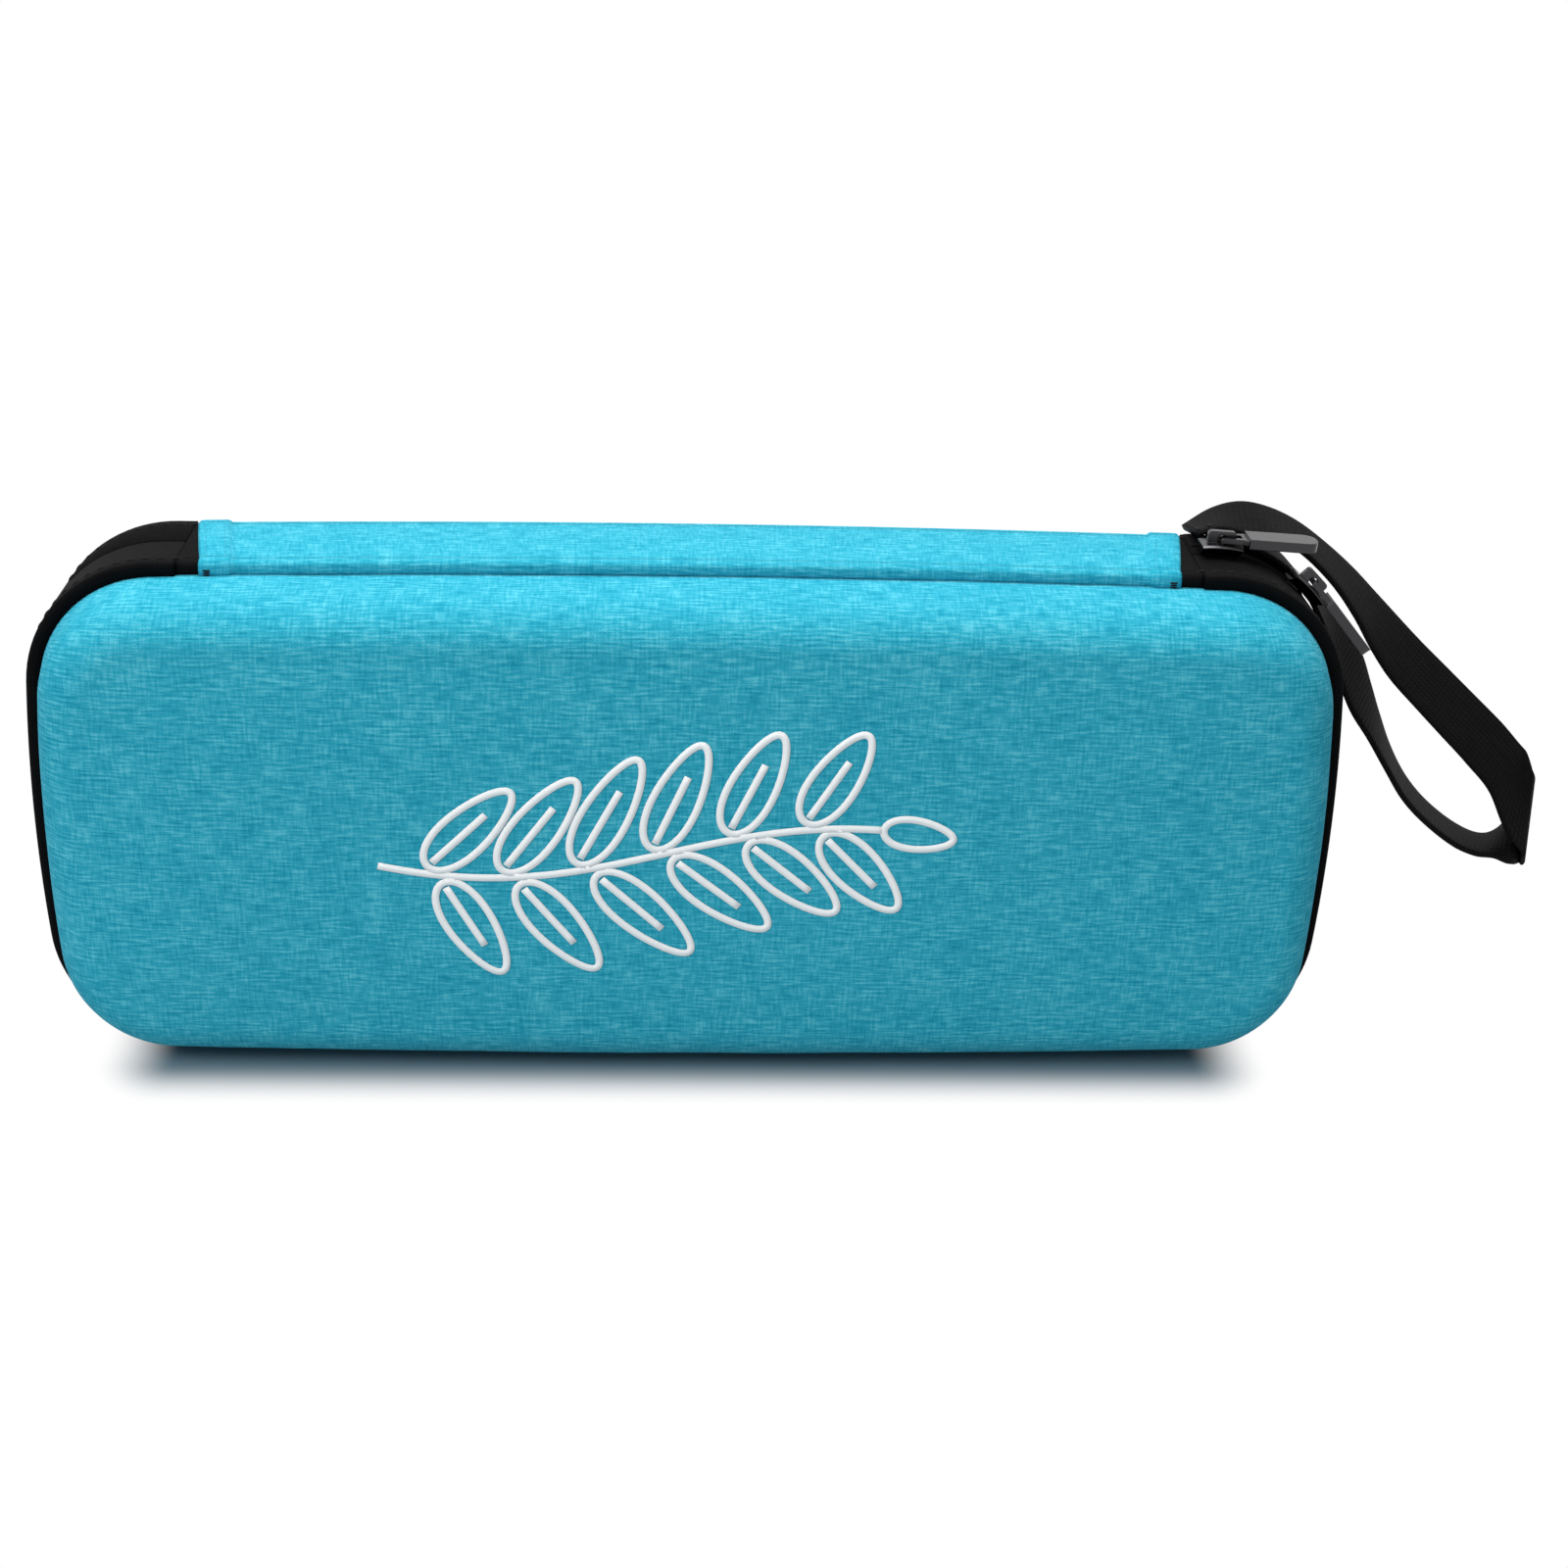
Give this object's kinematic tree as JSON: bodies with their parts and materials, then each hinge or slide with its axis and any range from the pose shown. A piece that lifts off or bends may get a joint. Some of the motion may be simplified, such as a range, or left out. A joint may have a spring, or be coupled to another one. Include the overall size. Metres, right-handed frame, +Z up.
{
  "type": "stethoscope hard case",
  "caption": "Long zip-round hard case of moulded half shells under heathered fabric, with a fabric spine, zip sliders and a wrist strap.",
  "frame": {"origin": "middle of the flat foot of the zip band, on the surface that the case stands on", "axes": "+X along the case towards the wrist strap, -Y is the front half's side, +Z up to the spine"},
  "size_m": [0.3417, 0.064, 0.1205],
  "materials": {
    "teal_polyester": "heathered woven polyester",
    "eva_foam": "pressed EVA foam",
    "lining_fabric": "brushed knit",
    "black_binding": "woven tape",
    "zip_tape": "woven zip tape",
    "nylon_coil": "nylon coil",
    "gunmetal": "dark plated zinc",
    "webbing": "flat woven webbing",
    "mesh": "open knitted mesh",
    "elastic": "ribbed elastic"
  },
  "bodies": {
    "back_shell": {"back_shell_cover": "teal_polyester", "back_shell_core": "eva_foam", "back_shell_lining": "lining_fabric", "back_rim_binding": "black_binding", "back_zip_tape": "zip_tape", "back_zip_coil": "nylon_coil", "strap_anchor": "webbing"},
    "spine": {"spine_cover": "teal_polyester", "spine_board": "eva_foam", "spine_lining": "lining_fabric"},
    "front_shell": {"front_shell_cover": "teal_polyester", "front_shell_core": "eva_foam", "front_shell_lining": "lining_fabric", "front_rim_binding": "black_binding", "front_zip_tape": "zip_tape", "front_zip_coil": "nylon_coil", "mesh_pocket": "mesh", "pocket_elastic": "elastic", "pocket_binding": "black_binding"},
    "slider_a": {"slider_a_body": "gunmetal"},
    "pull_a": {"slider_a_pull": "gunmetal"},
    "slider_b": {"slider_b_body": "gunmetal"},
    "pull_b": {"slider_b_pull": "gunmetal"},
    "strap": {"wrist_strap": "webbing"}
  },
  "joints": [
    {"name": "spine_hinge", "type": "hinge", "parent": "back_shell", "child": "spine", "pos_m": [0, 0.014, 0.114], "axis": [-1, 0, 0], "range_deg": [0, 90]},
    {"name": "front_hinge", "type": "hinge", "parent": "spine", "child": "front_shell", "pos_m": [0, -0.014, 0.114], "axis": [-1, 0, 0], "range_deg": [0, 90]},
    {"name": "slider_a_run", "type": "hinge", "parent": "back_shell", "child": "slider_a", "pos_m": [0.11246, 0, 0.085], "axis": [0, 1, 0], "range_deg": [0, 6]},
    {"name": "pull_a_flip", "type": "hinge", "parent": "slider_a", "child": "pull_a", "pos_m": [0.11447, 0, 0.11774], "axis": [0, -1, 0], "range_deg": [0, 50]},
    {"name": "slider_b_run", "type": "hinge", "parent": "back_shell", "child": "slider_b", "pos_m": [0.11246, 0, 0.085], "axis": [0, 1, 0], "range_deg": [0, 32]},
    {"name": "pull_b_flip", "type": "hinge", "parent": "slider_b", "child": "pull_b", "pos_m": [0.13566, 0, 0.10819], "axis": [0, -1, 0], "range_deg": [0, 70]},
    {"name": "strap_swing", "type": "hinge", "parent": "back_shell", "child": "strap", "pos_m": [0.11, 0.0125, 0.1157], "axis": [0, -1, 0], "range_deg": [0, 50]}
  ],
  "couplings": [
    {"joint": "front_hinge", "follows": "spine_hinge", "ratio": 1}
  ]
}
